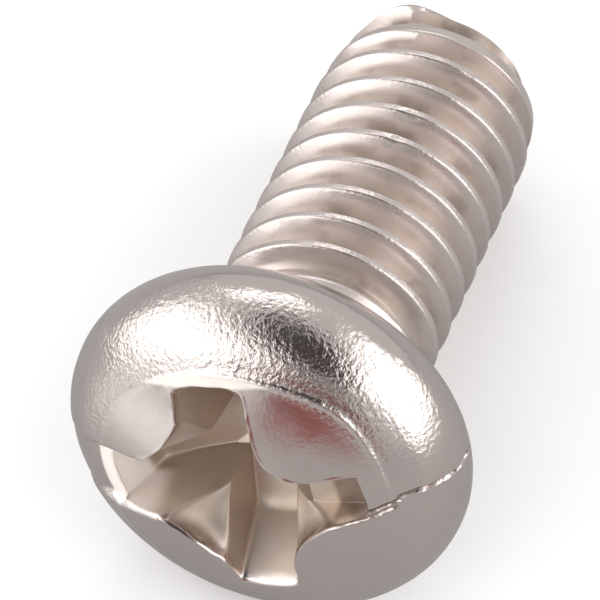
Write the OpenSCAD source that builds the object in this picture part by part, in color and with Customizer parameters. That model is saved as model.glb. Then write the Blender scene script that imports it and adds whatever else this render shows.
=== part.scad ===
// Machine screw M4 x 8 with a domed pan head and a combined drive: a cross recess
// over a straight slot whose outer ends were squeezed shut in heading. The thread
// is rolled and right-handed. The screw is drawn on its own axis, with the bearing
// face at z = 0 and the tip below it, and is then laid down on its side.

/* [Head] */
// Diameter of the head
head_d = 6.8; // [6.6:0.1:7.4]
// Height from the bearing face to the top of the crown
head_h = 2.6; // [2.4:0.05:3]
// Height of the widest part of the head above the bearing face
girth_h = 0.82; // [0.6:0.02:0.9]
// Radius that rolls the side of the head over into the dome
shoulder_r = 1.25; // [1:0.05:1.3]
// Diameter of the flat bearing face under the head
bearing_d = 6; // [5.4:0.1:6.2]
// Distance of the punch ridge on the dome inside the edge of the head
ridge_inset = 0.84; // [0.7:0.02:0.9]
// Height of the punch ridge above the dome
ridge_h = 0.02; // [0.01:0.005:0.04]
// Width of the punch ridge
ridge_w = 0.1; // [0.06:0.01:0.16]
// Radius of the fillet between the head and the neck
neck_fillet = 0.25; // [0.1:0.05:0.3]

/* [Shank] */
// Length under the head
shank_l = 8.1; // [6:0.1:20]
// Major diameter of the thread as rolled
thread_d = 3.88; // [3.8:0.01:4]
// Thread pitch
pitch = 0.7; // [0.5:0.05:0.75]
// Diameter at the root of the thread
root_d = 3.06; // [3:0.02:3.2]
// Flat width of a thread crest
crest_w = 0.15; // [0.08:0.01:0.18]
// Flat width of the groove between two threads
groove_w = 0.13; // [0.08:0.01:0.18]
// Diameter of the plain neck, as the blank was before rolling
neck_d = 3.5; // [3.4:0.02:3.6]
// Length of the plain neck under the head
neck_l = 0.95; // [0.6:0.05:1.5]
// Length in which the thread rises out of the neck
runout_l = 0.8; // [0.4:0.05:1.4]
// Length of the tapered lead at the tip
lead_l = 1.2; // [0.8:0.05:1.6]
// Diameter where the lead meets the end chamfer
lead_d = 3.52; // [3.3:0.02:3.6]
// Length of the end chamfer
chamfer_l = 0.22; // [0.14:0.02:0.4]
// Diameter of the flat end face
end_d = 2.96; // [2.6:0.02:3]
// Height of the burr where the thread runs out over the end face
burr_h = 0.3; // [0:0.02:0.3]
// Half the angle that the burr takes of the edge
burr_a = 34; // [20:1:60]
// Direction of the burr about the axis, against the drive
burr_turn = 96; // [0:1:359]

/* [Drive] */
// Diameter across the wings of the cross recess where they meet the dome
cross_d = 4.34; // [4:0.02:4.6]
// Width of a wing where it meets the dome
wing_w = 1.26; // [1.1:0.02:1.4]
// Width of a wing at its floor
wing_floor_w = 1.04; // [0.9:0.02:1.08]
// Diameter of the tapered well where the wings cross, at the dome
well_d = 2.66; // [2.4:0.02:2.9]
// Depth at the outer ends of the wings below the top of the crown
wing_depth = 1.62; // [1.3:0.02:1.7]
// Slope of the wing ends and of the well against the screw axis
wing_slope = 26.5; // [22:0.5:28]
// Slope of the cone at the bottom of the recess against a level plane
bottom_slope = 25; // [15:1:28]
// Depth of the wing that was squeezed, below the top of the crown
squeezed_depth = 0.78; // [0.6:0.02:1]
// Distance from the axis at which the squeezed wing rises
squeezed_from = 1; // [0.9:0.02:1.5]
// Width that is left of the squeezed wing at its outer end
squeezed_w = 0.74; // [0.5:0.02:1]
// Width of the straight slot
slot_w = 1.18; // [1:0.02:1.3]
// How far the open end of the slot lets its wing reach beyond the other wings
slot_reach = 0.3; // [0:0.02:0.4]
// Depth that is left of the slot outside the cross recess, square to the dome
slot_trace = 0.22; // [0.1:0.01:0.3]
// How far the metal of the closed slot has flowed outwards, which fills it towards the edge
slot_flow = 0.18; // [0:0.01:0.2]
// Width of the seam where the slot closed
seam_w = 0.08; // [0.05:0.01:0.12]
// Depth of the seam where the slot closed
seam_depth = 0.2; // [0.1:0.02:0.3]
// Distance between the axis of the drive and the axis of the head
drive_offset = 0.17; // [-0.2:0.01:0.2]

/* [Rest] */
// Turn of the screw about its own axis as it lies
lie_turn = -70; // [-180:1:180]
// Turn of the thread about the axis against the drive
thread_turn = 47; // [0:1:359]

/* [Hidden] */
$fn = 96;

// Steps in one turn of the thread
turn_steps = 36;
// How far the thread starts inside the neck, and how far it stays below its surface
root_in_neck = 0.2;
under_neck = 0.03;
// How far a cutting tool reaches past the surface that it opens
past = 0.4;

head_r = head_d / 2;
bearing_r = bearing_d / 2;
ridge_r = head_r - ridge_inset;
neck_r = neck_d / 2;
crest_r = thread_d / 2;
root_r = root_d / 2;
lead_r = lead_d / 2;
end_r = end_d / 2;
cross_r = cross_d / 2;
well_r = well_d / 2;
steel = [0.72, 0.69, 0.66];

// The dome arc is level at the crown and tangent to the shoulder arc, and the
// arc under the girth runs upright into the shoulder
shoulder_x = head_r - shoulder_r;
rise = head_h - girth_h;
dome_r = (shoulder_x * shoulder_x + rise * rise - shoulder_r * shoulder_r)
       / (2 * (rise - shoulder_r));
dome_z = head_h - dome_r;
join_a = atan2(girth_h - dome_z, shoulder_x);
join_x = dome_r * cos(join_a);
flare = head_r - bearing_r;
under_r = (flare * flare + girth_h * girth_h) / (2 * flare);

// Lean of the axis when the head and the tip both touch the table
reach = girth_h + shank_l - chamfer_l;
drop = shoulder_x - lead_r;
lean = asin(shoulder_r / sqrt(reach * reach + drop * drop)) + atan2(drop, reach);
axis_z = shoulder_x * cos(lean) + shoulder_r - girth_h * sin(lean);
crown_x = dome_z * cos(lean) + dome_r;
tip_x = shank_l * cos(lean) + end_r * sin(lean);

function arc(cx, cz, r, a0, a1, steps) =
    [for (i = [0 : steps]) let (a = a0 + (a1 - a0) * i / steps) [cx + r * cos(a), cz + r * sin(a)]];

// Height of the bare dome and shoulder at a distance from the axis
function dome_height(r) =
    r < join_x ? dome_z + sqrt(dome_r * dome_r - r * r)
               : girth_h + sqrt(shoulder_r * shoulder_r - (r - shoulder_x) * (r - shoulder_x));

// Radius of the cross recess cone at a height, from its radius at the dome
function taper(r_dome, z) = r_dome - (dome_height(r_dome) - z) * tan(wing_slope);

// Head above the bearing face, made smaller all round by an inset
module head_form(inset = 0) {
    rotate_extrude()
        polygon(concat(
            [[0, 0]],
            arc(head_r - under_r, girth_h, under_r - inset, -asin(girth_h / under_r), 0, 5),
            arc(shoulder_x, girth_h, shoulder_r - inset, join_a / 10, join_a, 9),
            arc(0, dome_z, dome_r - inset, join_a + (90 - join_a) / 12, 90, 11)
        ));
}

// Burr ring that the edge of the heading punch left on the dome
module punch_ridge() {
    foot = ridge_w / 2;
    rotate_extrude()
        translate([ridge_r, dome_height(ridge_r)])
        rotate(-atan2(ridge_r, dome_height(ridge_r) - dome_z))
        polygon([[-foot, -foot / 4], [0, -foot], [foot, -foot / 4], [0, ridge_h]]);
}

// Plain neck with the fillet that carries it into the head
module neck() {
    rotate_extrude()
        polygon(concat(
            [[0, past], [0, -neck_l], [neck_r, -neck_l]],
            arc(neck_r + neck_fillet, -neck_fillet, neck_fillet, 180, 90, 6),
            [[neck_r + neck_fillet, past]]
        ));
}

// Envelope radius of the thread at a distance below the bearing face
function envelope(s) =
    let (lead = shank_l - lead_l, edge = shank_l - chamfer_l)
    s < lead ? crest_r
    : s < edge ? crest_r + (lead_r - crest_r) * (s - lead) / (edge - lead)
    : lead_r + (end_r - lead_r) * min(1, (s - edge) / chamfer_l);

// One pitch of the thread as distances along the axis and radii
flank_w = (pitch - crest_w - groove_w) / 2;
profile = [
    [0, root_r],
    [groove_w, root_r],
    [groove_w + flank_w / 2, (root_r + crest_r) / 2],
    [groove_w + flank_w, crest_r],
    [groove_w + flank_w + crest_w, crest_r],
    [groove_w + flank_w * 1.5 + crest_w, (root_r + crest_r) / 2]
];

// The thread fades in from just under the neck and spirals in over the end face
thread_from = neck_l - root_in_neck - pitch;
function fade(s) = let (k = max(0, min(1, (s - neck_l) / runout_l))) k * k * (3 - 2 * k);
function thread_radius(s, full) =
    let (start = neck_r - under_neck, r = start + (full - start) * fade(s))
    min(r, envelope(s)) - max(0, s - shank_l) * end_r / (3 * pitch);

// The burr swells out of the edge of the end face over a part of a turn
function burr(s, a) =
    let (off = abs((a - burr_turn) % 360), near = min(off, 360 - off),
         along = max(0, 1 - abs(s - shank_l) / (pitch / 2)))
    near < burr_a ? burr_h * pow(cos(90 * near / burr_a), 2) * along : 0;
function thread_point(i, c) =
    let (s = thread_from + pitch * i / turn_steps + profile[c][0],
         a = thread_turn - 360 * i / turn_steps,
         r = thread_radius(s, profile[c][1]) + burr(s, a))
    [r * cos(a), r * sin(a), -min(s, shank_l)];

// Threaded shank as one closed helical strip, capped in the neck and at the tip
module thread() {
    cols = len(profile);
    steps = ceil((shank_l - thread_from + pitch) / pitch * turn_steps);
    last = steps * cols + cols - 1;
    points = concat(
        [for (i = [0 : steps], c = [0 : cols - 1]) thread_point(i, c)],
        [[0, 0, -thread_from], [0, 0, -shank_l]]
    );
    // Number of a point, where the column after the last is the first of the next turn
    function at(i, c) = c < cols ? i * cols + c : (i + turn_steps) * cols;
    wall = [
        for (i = [0 : steps - 1], c = [0 : cols - 1])
            if (c < cols - 1 || i + turn_steps < steps)
                each [[at(i, c), at(i + 1, c + 1), at(i + 1, c)],
                      [at(i, c), at(i, c + 1), at(i + 1, c + 1)]]
    ];
    start_rim = concat([for (i = [0 : turn_steps]) at(i, 0)], [for (c = [cols - 1 : -1 : 1]) at(0, c)]);
    start_cap = [for (j = [0 : len(start_rim) - 1])
        [last + 1, start_rim[j], start_rim[(j + 1) % len(start_rim)]]];
    // The last profile lies on one ray of the end face, so it fans out from the point beside it
    beside = at(steps - turn_steps + 1, cols - 1);
    end_ray = concat([at(steps - turn_steps, cols - 1)], [for (c = [0 : cols - 1]) at(steps, c)], [last + 2]);
    end_cap = concat(
        [for (j = [0 : len(end_ray) - 2]) [beside, end_ray[j], end_ray[j + 1]]],
        [for (i = [steps - turn_steps + 1 : steps - 1]) [last + 2, at(i + 1, cols - 1), at(i, cols - 1)]]
    );
    polyhedron(points, concat(wall, start_cap, end_cap), convexity = 12);
}

// Heights of the drive: the ends of the wings and the lowest point of the well
wing_floor_z = head_h - wing_depth;
floor_r = taper(cross_r, wing_floor_z);
bottom_z = wing_floor_z - floor_r * tan(bottom_slope);
drive_top = head_h + past;

// A wing from the axis outwards along +X, with walls that draw in towards the floor
module wing(length) {
    rotate([90, 0, 90])
        linear_extrude(height = length)
        polygon([
            [-wing_floor_w / 2, bottom_z], [wing_floor_w / 2, bottom_z],
            [wing_w / 2, dome_height(cross_r)], [wing_w / 2, drive_top],
            [-wing_w / 2, drive_top], [-wing_w / 2, dome_height(cross_r)]
        ]);
}

// Cone that the outer ends of the wings and the bottom of the recess lie on
module drive_cone() {
    rotate_extrude()
        polygon([
            [0, bottom_z], [floor_r, wing_floor_z],
            [taper(cross_r, drive_top), drive_top], [0, drive_top]
        ]);
}

// Well that cuts the corners between the wings
module well() {
    translate([0, 0, bottom_z])
        cylinder(r1 = max(0.05, taper(well_r, bottom_z)), r2 = taper(well_r, drive_top),
                 h = drive_top - bottom_z);
}

// The squeezed wing is shallow and narrows outwards
module squeezed_wing() {
    floor_z = head_h - squeezed_depth;
    translate([0, 0, floor_z])
        linear_extrude(height = drive_top - floor_z)
        polygon([
            [0, -wing_w / 2], [squeezed_from, -wing_w / 2], [cross_r, -squeezed_w / 2],
            [cross_r, squeezed_w / 2], [squeezed_from, wing_w / 2], [0, wing_w / 2]
        ]);
}

module cross_recess() {
    intersection() {
        drive_cone();
        union() {
            well();
            for (a = [90, 270]) rotate(a) wing(head_r);
            wing(squeezed_from);
            squeezed_wing();
        }
    }
    // The wing on the open side of the slot lies further out
    intersection() {
        translate([-slot_reach, 0, 0]) drive_cone();
        rotate(180) wing(head_r);
    }
}

// Outer ends of the straight slot: a trace of it on one side, a seam on the other
module slot_ends() {
    difference() {
        translate([-head_r - past, drive_offset - slot_w / 2, girth_h])
            cube([head_r + past - well_r, slot_w, drive_top - girth_h]);
        translate([-slot_flow, 0, 0]) head_form(slot_trace);
    }
    difference() {
        translate([0, 0, girth_h])
            linear_extrude(height = drive_top - girth_h)
            polygon(seam_outline());
        head_form(seam_depth);
    }
}

// The seam wanders across the dome from the squeezed wing to the edge of the head
function seam_outline() =
    let (from = cross_r - slot_w / 4, span = head_r - from, edge = drive_offset - squeezed_w / 2,
         line = [[from, edge], [from + span * 0.4, edge + slot_w / 16],
                 [from + span * 0.7, edge - slot_w / 20], [head_r + past, edge - slot_w / 5]])
    concat([for (p = line) [p[0], p[1] - seam_w / 2]],
           [for (k = [len(line) - 1 : -1 : 0]) [line[k][0], line[k][1] + seam_w / 2]]);

module screw() {
    color(steel)
    translate([(crown_x - tip_x) / 2, 0, axis_z])
    rotate([0, lean - 90, 0])
    rotate(lie_turn) {
        difference() {
            union() {
                head_form();
                punch_ridge();
                neck();
            }
            translate([0, drive_offset, 0]) cross_recess();
            slot_ends();
        }
        thread();
    }
}

screw();
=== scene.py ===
"""Machine screw with a domed pan head, lying on a white table.

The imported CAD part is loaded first. The screw is modelled again over it with soft edges, burrs and
a continuous thread, and it gets its nickel plate, its light and the camera of the photograph.
Sizes are in millimetres on the screw's own axes: z = 0 at the bearing face under the head, the
crown at +z and the tip at -z.
"""
import logging
import math
from collections.abc import Callable
from dataclasses import dataclass, field
from enum import Enum

import bpy
from mathutils import Matrix, Vector, noise


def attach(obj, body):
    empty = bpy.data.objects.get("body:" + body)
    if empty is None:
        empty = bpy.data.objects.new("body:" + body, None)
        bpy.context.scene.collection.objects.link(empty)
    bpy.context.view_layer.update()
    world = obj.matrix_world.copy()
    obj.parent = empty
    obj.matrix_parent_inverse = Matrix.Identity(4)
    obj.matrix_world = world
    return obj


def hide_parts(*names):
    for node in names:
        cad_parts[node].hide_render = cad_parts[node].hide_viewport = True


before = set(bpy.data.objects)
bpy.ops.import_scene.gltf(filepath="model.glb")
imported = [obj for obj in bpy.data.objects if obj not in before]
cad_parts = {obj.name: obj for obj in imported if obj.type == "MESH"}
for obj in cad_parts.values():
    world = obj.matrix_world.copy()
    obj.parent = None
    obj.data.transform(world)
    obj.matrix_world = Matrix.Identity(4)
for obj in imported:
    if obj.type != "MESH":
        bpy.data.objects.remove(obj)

LOG = logging.getLogger("screw")
MM = 0.001
Triple = tuple[float, float, float]
TURN = 2.0 * math.pi
WELD = 0.0004
SEAM_DIRT = "seam_dirt"
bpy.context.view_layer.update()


def mix(start: float, end: float, part: float) -> float:
    """Go a part of the way from one value to another."""
    return start + (end - start) * part


def ease(low: float, high: float, value: float) -> float:
    """Rise smoothly from 0 to 1 while the value goes from low to high."""
    part = max(0.0, min(1.0, (value - low) / (high - low)))
    return part * part * (3.0 - 2.0 * part)


def soft_min(first: float, second: float, blend: float) -> float:
    """Take the smaller of two values, with a round as wide as the blend where they cross."""
    part = max(0.0, min(1.0, 0.5 + 0.5 * (second - first) / blend))
    return mix(second, first, part) - blend * part * (1.0 - part)


def speckle(x: float, y: float, z: float) -> float:
    """Give smooth noise between about -1 and 1."""
    return noise.noise(Vector((x, y, z)))


def add_plane(name: str, size: float) -> bpy.types.Object:
    """Add a level square.

    Args:
        name: Name of the new object.
        size: Length of its sides.

    Returns:
        The square.
    """
    bpy.ops.object.select_all(action="DESELECT")
    bpy.ops.mesh.primitive_plane_add(size=size)
    plane = bpy.context.object
    plane.name = name
    return plane


def lay_sheet(name: str, columns: int, rows: int, place: Callable[[int, int], Vector]) -> bpy.types.Object:
    """Add a grid primitive and move each of its vertices to its own place.

    Args:
        name: Name of the new object.
        columns: Number of faces along the first direction.
        rows: Number of faces along the second direction.
        place: Gives the place of the vertex in a column and a row.

    Returns:
        The shaped object.
    """
    bpy.ops.object.select_all(action="DESELECT")
    bpy.ops.mesh.primitive_grid_add(x_subdivisions=columns, y_subdivisions=rows, size=2.0)
    sheet = bpy.context.object
    sheet.name = name
    for vertex in sheet.data.vertices:
        column = round((vertex.co.x + 1.0) / 2.0 * columns)
        row = round((vertex.co.y + 1.0) / 2.0 * rows)
        vertex.co = place(column, row)
    return sheet


def close_seams(gap: float) -> None:
    """Merge the meeting edges of the active object and turn all faces outward.

    Args:
        gap: Distance up to which vertices are merged.
    """
    bpy.ops.object.mode_set(mode="EDIT")
    bpy.ops.mesh.select_all(action="SELECT")
    bpy.ops.mesh.remove_doubles(threshold=gap)
    bpy.ops.mesh.normals_make_consistent(inside=False)
    bpy.ops.object.mode_set(mode="OBJECT")


@dataclass(frozen=True)
class Rest:
    """How the screw lies on the table, on the edge of its head and the edge of its lead.

    Attributes:
        lean: Angle between the screw's axis and the table.
        turn: Turn of the screw about its own axis.
        bearing_x: Place of the bearing face's centre along the table.
        bearing_z: Height of the bearing face's centre above the table.
    """

    lean: float = math.radians(10.8191)
    turn: float = math.radians(-70.0)
    bearing_x: float = -2.7878
    bearing_z: float = 3.20786

    def matrix(self) -> Matrix:
        """Turn the screw's own axes in millimetres into the part's frame in metres.

        Returns:
            The matrix that lays the screw down.
        """
        return (
            Matrix.Scale(MM, 4)
            @ Matrix.Translation((self.bearing_x, 0.0, self.bearing_z))
            @ Matrix.Rotation(self.lean - math.pi / 2, 4, "Y")
            @ Matrix.Rotation(self.turn, 4, "Z")
        )


@dataclass(frozen=True)
class HeadForm:
    """Turned form of the head, from the crown over the shoulder to the neck.

    Attributes:
        radius: Radius at the girth.
        height: Height of the crown above the bearing face.
        girth: Height of the widest part.
        shoulder: Radius of the arc between the girth and the dome.
        bearing: Outer radius of the bearing face.
        neck: Radius of the plain neck.
        fillet: Radius of the fillet between the bearing face and the neck.
    """

    radius: float = 3.4
    height: float = 2.6
    girth: float = 0.82
    shoulder: float = 1.25
    bearing: float = 3.0
    neck: float = 1.75
    fillet: float = 0.25

    @property
    def shoulder_x(self) -> float:
        """Distance of the shoulder arc's centre from the axis."""
        return self.radius - self.shoulder

    @property
    def dome(self) -> float:
        """Radius of the dome, which is tangent to the shoulder."""
        rise = self.height - self.girth
        return (self.shoulder_x**2 + rise**2 - self.shoulder**2) / (2.0 * (rise - self.shoulder))

    @property
    def join(self) -> float:
        """Angle against the axis at which the dome meets the shoulder."""
        return math.atan2(self.shoulder_x, self.girth - self.height + self.dome)

    def slope(self, distance: float) -> float:
        """Find how far the surface's normal leans from the axis.

        Args:
            distance: Distance from the axis.

        Returns:
            The angle of the normal.
        """
        if distance < self.dome * math.sin(self.join):
            return math.asin(distance / self.dome)
        return math.asin(min(1.0, (distance - self.shoulder_x) / self.shoulder))

    def height_at(self, distance: float) -> float:
        """Find the height of the upper surface.

        Args:
            distance: Distance from the axis.

        Returns:
            Its height above the bearing face.
        """
        lean = self.slope(distance)
        if lean <= self.join:
            return self.height - self.dome + self.dome * math.cos(lean)
        return self.girth + self.shoulder * math.cos(lean)

    def underside(self) -> list[tuple[float, float]]:
        """List the radii and heights from the girth down to a closed end inside the neck.

        Returns:
            The points of the profile, outermost first.
        """
        flare = self.radius - self.bearing
        arc = (flare**2 + self.girth**2) / (2.0 * flare)
        sweep = math.asin(self.girth / arc)
        centre = self.radius - arc
        under = [
            (centre + arc * math.cos(sweep * k / 8), self.girth - arc * math.sin(sweep * k / 8))
            for k in range(1, 9)
        ]
        foot = self.neck + self.fillet
        turns = [math.pi / 2 * k / 7 for k in range(8)]
        fillet = [
            (foot - self.fillet * math.sin(turn), self.fillet * (math.cos(turn) - 1.0)) for turn in turns
        ]
        level = -self.fillet * 1.1
        inside = [(self.neck * 0.97, level), (0.0, level)]
        return under + [(mix(self.bearing, foot, 0.5), 0.0)] + fillet + inside


@dataclass(frozen=True)
class PunchRidge:
    """Fine burr ring that the edge of the heading punch left on the dome.

    Attributes:
        radius: Radius of the ring.
        bulge: How far it bulges on the side where the punch slipped.
        slip: Direction of that side.
        slip_width: Angle over which it bulges.
        height: Height of the burr there.
        faint: Height of the burr elsewhere.
        width: Width of the burr.
        strong: Direction about which the burr is high.
        fades: Angles from there between which it becomes faint.
    """

    radius: float = 2.53
    bulge: float = 0.16
    slip: float = math.radians(38.0)
    slip_width: float = math.radians(22.0)
    height: float = 0.04
    faint: float = 0.01
    width: float = 0.046
    strong: float = math.radians(38.0) + 0.08
    fades: tuple[float, float] = (0.7, 1.0)

    def radius_at(self, heading: float) -> float:
        """Give the radius of the ring in a direction."""
        off = math.remainder(heading - self.slip, TURN) / self.slip_width
        return self.radius + self.bulge * math.exp(-off * off)

    def lift(self, x: float, y: float) -> float:
        """Find the height of the burr.

        Args:
            x: Place on the dome.
            y: Place on the dome.

        Returns:
            The height above the dome.
        """
        heading = math.atan2(y, x)
        off = (math.hypot(x, y) - self.radius_at(heading)) / self.width
        if abs(off) > 3.0:
            return 0.0
        high = 1.0 - ease(*self.fades, abs(math.remainder(heading - self.strong, TURN)))
        worn = 0.85 + 0.4 * speckle(x * 2.3, y * 2.3, 0.0)
        return mix(self.faint, self.height, high) * worn * math.exp(-off * off)


@dataclass(frozen=True)
class SlotTrace:
    """What is left of the straight slot on its open side, filled towards the edge.

    Attributes:
        y: Place of the slot's middle.
        half_width: Half its width.
        soft: Half the width of its sloped sides.
        jag: How far its sides wander.
        start: Distance from the drive's axis at which it is deepest.
        end: Distance from the axis at which it has nearly run out.
        depth: Depth at the start.
        rest: Depth at the end.
        low: Heights on the head between which it begins.
    """

    y: float = 0.17
    half_width: float = 0.6
    soft: float = 0.1
    jag: float = 0.03
    start: float = 2.3
    end: float = 3.3
    depth: float = 0.17
    rest: float = 0.03
    low: tuple[float, float] = (0.75, 1.15)

    def lift(self, x: float, y: float, z: float) -> float:
        """Find the depth of the slot, as a negative height.

        Args:
            x: Place on the head.
            y: Place on the head.
            z: Height of that place.

        Returns:
            The height against the plain head.
        """
        if x > -1.6:
            return 0.0
        off = abs(y - self.y) + self.jag * speckle(x * 3.0, y * 3.0, z * 3.0)
        across = 1.0 - ease(self.half_width - self.soft, self.half_width + self.soft, off)
        return -across * ease(*self.low, z) * mix(self.rest, self.depth, ease(-self.end, -self.start, x))


@dataclass(frozen=True)
class Seam:
    """Jagged line where the slot was squeezed shut, with a sliver in it and a burred edge.

    Attributes:
        path: Corners of the line on the head, from the squeezed wing to the edge.
        half_width: Half the width of the open line.
        depth: Depth of the open line.
        sliver: Width of the sliver between the line and its branch near the wing.
        burr: Height of the burr beside it.
        burr_width: Width of that burr.
        jag: How far the line wanders between its corners.
        begins: Distances from the axis between which the line opens.
        joins: Distances between which the branch runs back into the line.
        fades: Distances between which the burr ends.
    """

    path: tuple[tuple[float, float], ...] = (
        (1.9, -0.26), (2.15, -0.2), (2.43, -0.13), (2.68, -0.05),
        (3.02, -0.04), (3.2, -0.12), (3.39, -0.22), (3.6, -0.22),
    )
    half_width: float = 0.036
    depth: float = 0.06
    sliver: float = 0.1
    burr: float = 0.026
    burr_width: float = 0.05
    jag: float = 0.06
    begins: tuple[float, float] = (1.8, 2.1)
    joins: tuple[float, float] = (2.5, 2.75)
    fades: tuple[float, float] = (3.05, 3.25)

    def near(self, x: float, y: float) -> bool:
        """Tell whether a place is close to the seam."""
        return x > self.begins[0] and abs(y + 0.1) < 0.6

    def offset(self, x: float, y: float) -> float:
        """Measure how far a place lies from the line, positive on the far side.

        Args:
            x: Place on the head.
            y: Place on the head.

        Returns:
            The distance across the line.
        """
        wander = self.jag * (speckle(x * 4.0, 0.3, 0.0) + 0.5 * speckle(x * 9.0, 7.0, 0.0))
        for (x0, y0), (x1, y1) in zip(self.path, self.path[1:]):
            if x <= x1:
                return y - mix(y0, y1, (x - x0) / (x1 - x0)) - wander
        return math.inf

    def opened(self, x: float, y: float) -> tuple[float, float, float]:
        """Find how far the seam is open at a place.

        Args:
            x: Place on the head.
            y: Place on the head.

        Returns:
            The line, its branch and the sliver between them, each from 0 to 1.
        """
        off = self.offset(x, y)
        start = ease(*self.begins, x)
        twin = start * (1.0 - ease(*self.joins, x))
        line = 1.0 - ease(0.3, 1.0, abs(off) / self.half_width)
        branch = 1.0 - ease(0.3, 1.0, abs(off + self.sliver) / self.half_width)
        between = 1.0 if -self.sliver < off < 0.0 else 0.0
        return start * line, twin * branch, twin * between

    def dirt(self, x: float, y: float) -> float:
        """Find the share of dirt at a place.

        Args:
            x: Place on the head.
            y: Place on the head.

        Returns:
            The share, from 0 to 1.
        """
        if not self.near(x, y):
            return 0.0
        line, branch, between = self.opened(x, y)
        return max(0.85 * line, 0.6 * branch, 0.3 * between)

    def lift(self, x: float, y: float) -> float:
        """Find the depth of the line or the height of its burr.

        Args:
            x: Place on the head.
            y: Place on the head.

        Returns:
            The height against the plain head.
        """
        if not self.near(x, y):
            return 0.0
        line, branch, _ = self.opened(x, y)
        bank = self.half_width + 0.019 + self.sliver * (1.0 - ease(*self.joins, x))
        side = (self.offset(x, y) + bank) / self.burr_width
        beaded = 0.75 + 0.9 * speckle(x * 5.5, 0.0, 3.0)
        along = ease(*self.begins, x) * (1.0 - ease(*self.fades, x))
        return self.burr * beaded * along * math.exp(-side * side) - self.depth * (line + 0.5 * branch)


class WingForm(Enum):
    """How one wing of the cross recess was changed by the slot."""

    PLAIN = "plain"
    LONG = "long"
    SQUEEZED = "squeezed"


class Part(Enum):
    """Part of the recess outline on which a column of the mesh starts."""

    INTO_END = "side that leads to the end"
    END = "end"
    OUT_OF_END = "side that leads from the end"
    WELL = "well between two wings"


@dataclass(frozen=True)
class Wing:
    """One wing of the cross recess.

    Attributes:
        turn: Its direction about the axis.
        form: How it was changed.
        end_columns: Number of columns of the mesh on its outer end.
        halves: Half its width at the outer end, to the right and to the left of its direction.
        narrow: Distances between which it narrows to that, on either side.
        rolls: How far the round of the lobe beside it reaches outwards, on either side.
        tip: Distance of the tip of the lobe after it from the axis.
        rag: How far its lip is torn.
    """

    turn: float
    form: WingForm
    end_columns: int
    halves: tuple[float, float]
    narrow: tuple[tuple[float, float], tuple[float, float]]
    rolls: tuple[float, float]
    tip: float
    rag: float


@dataclass(frozen=True)
class Column:
    """One column of the head's mesh, which runs out of the recess and over the head.

    Attributes:
        wing: Number of the wing that it belongs to.
        part: Part of the outline on which it starts.
        along: Its place within that part, from 0 to 1.
        heading: Direction that it takes outside the punch ridge.
    """

    wing: int
    part: Part
    along: float
    heading: float


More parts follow.
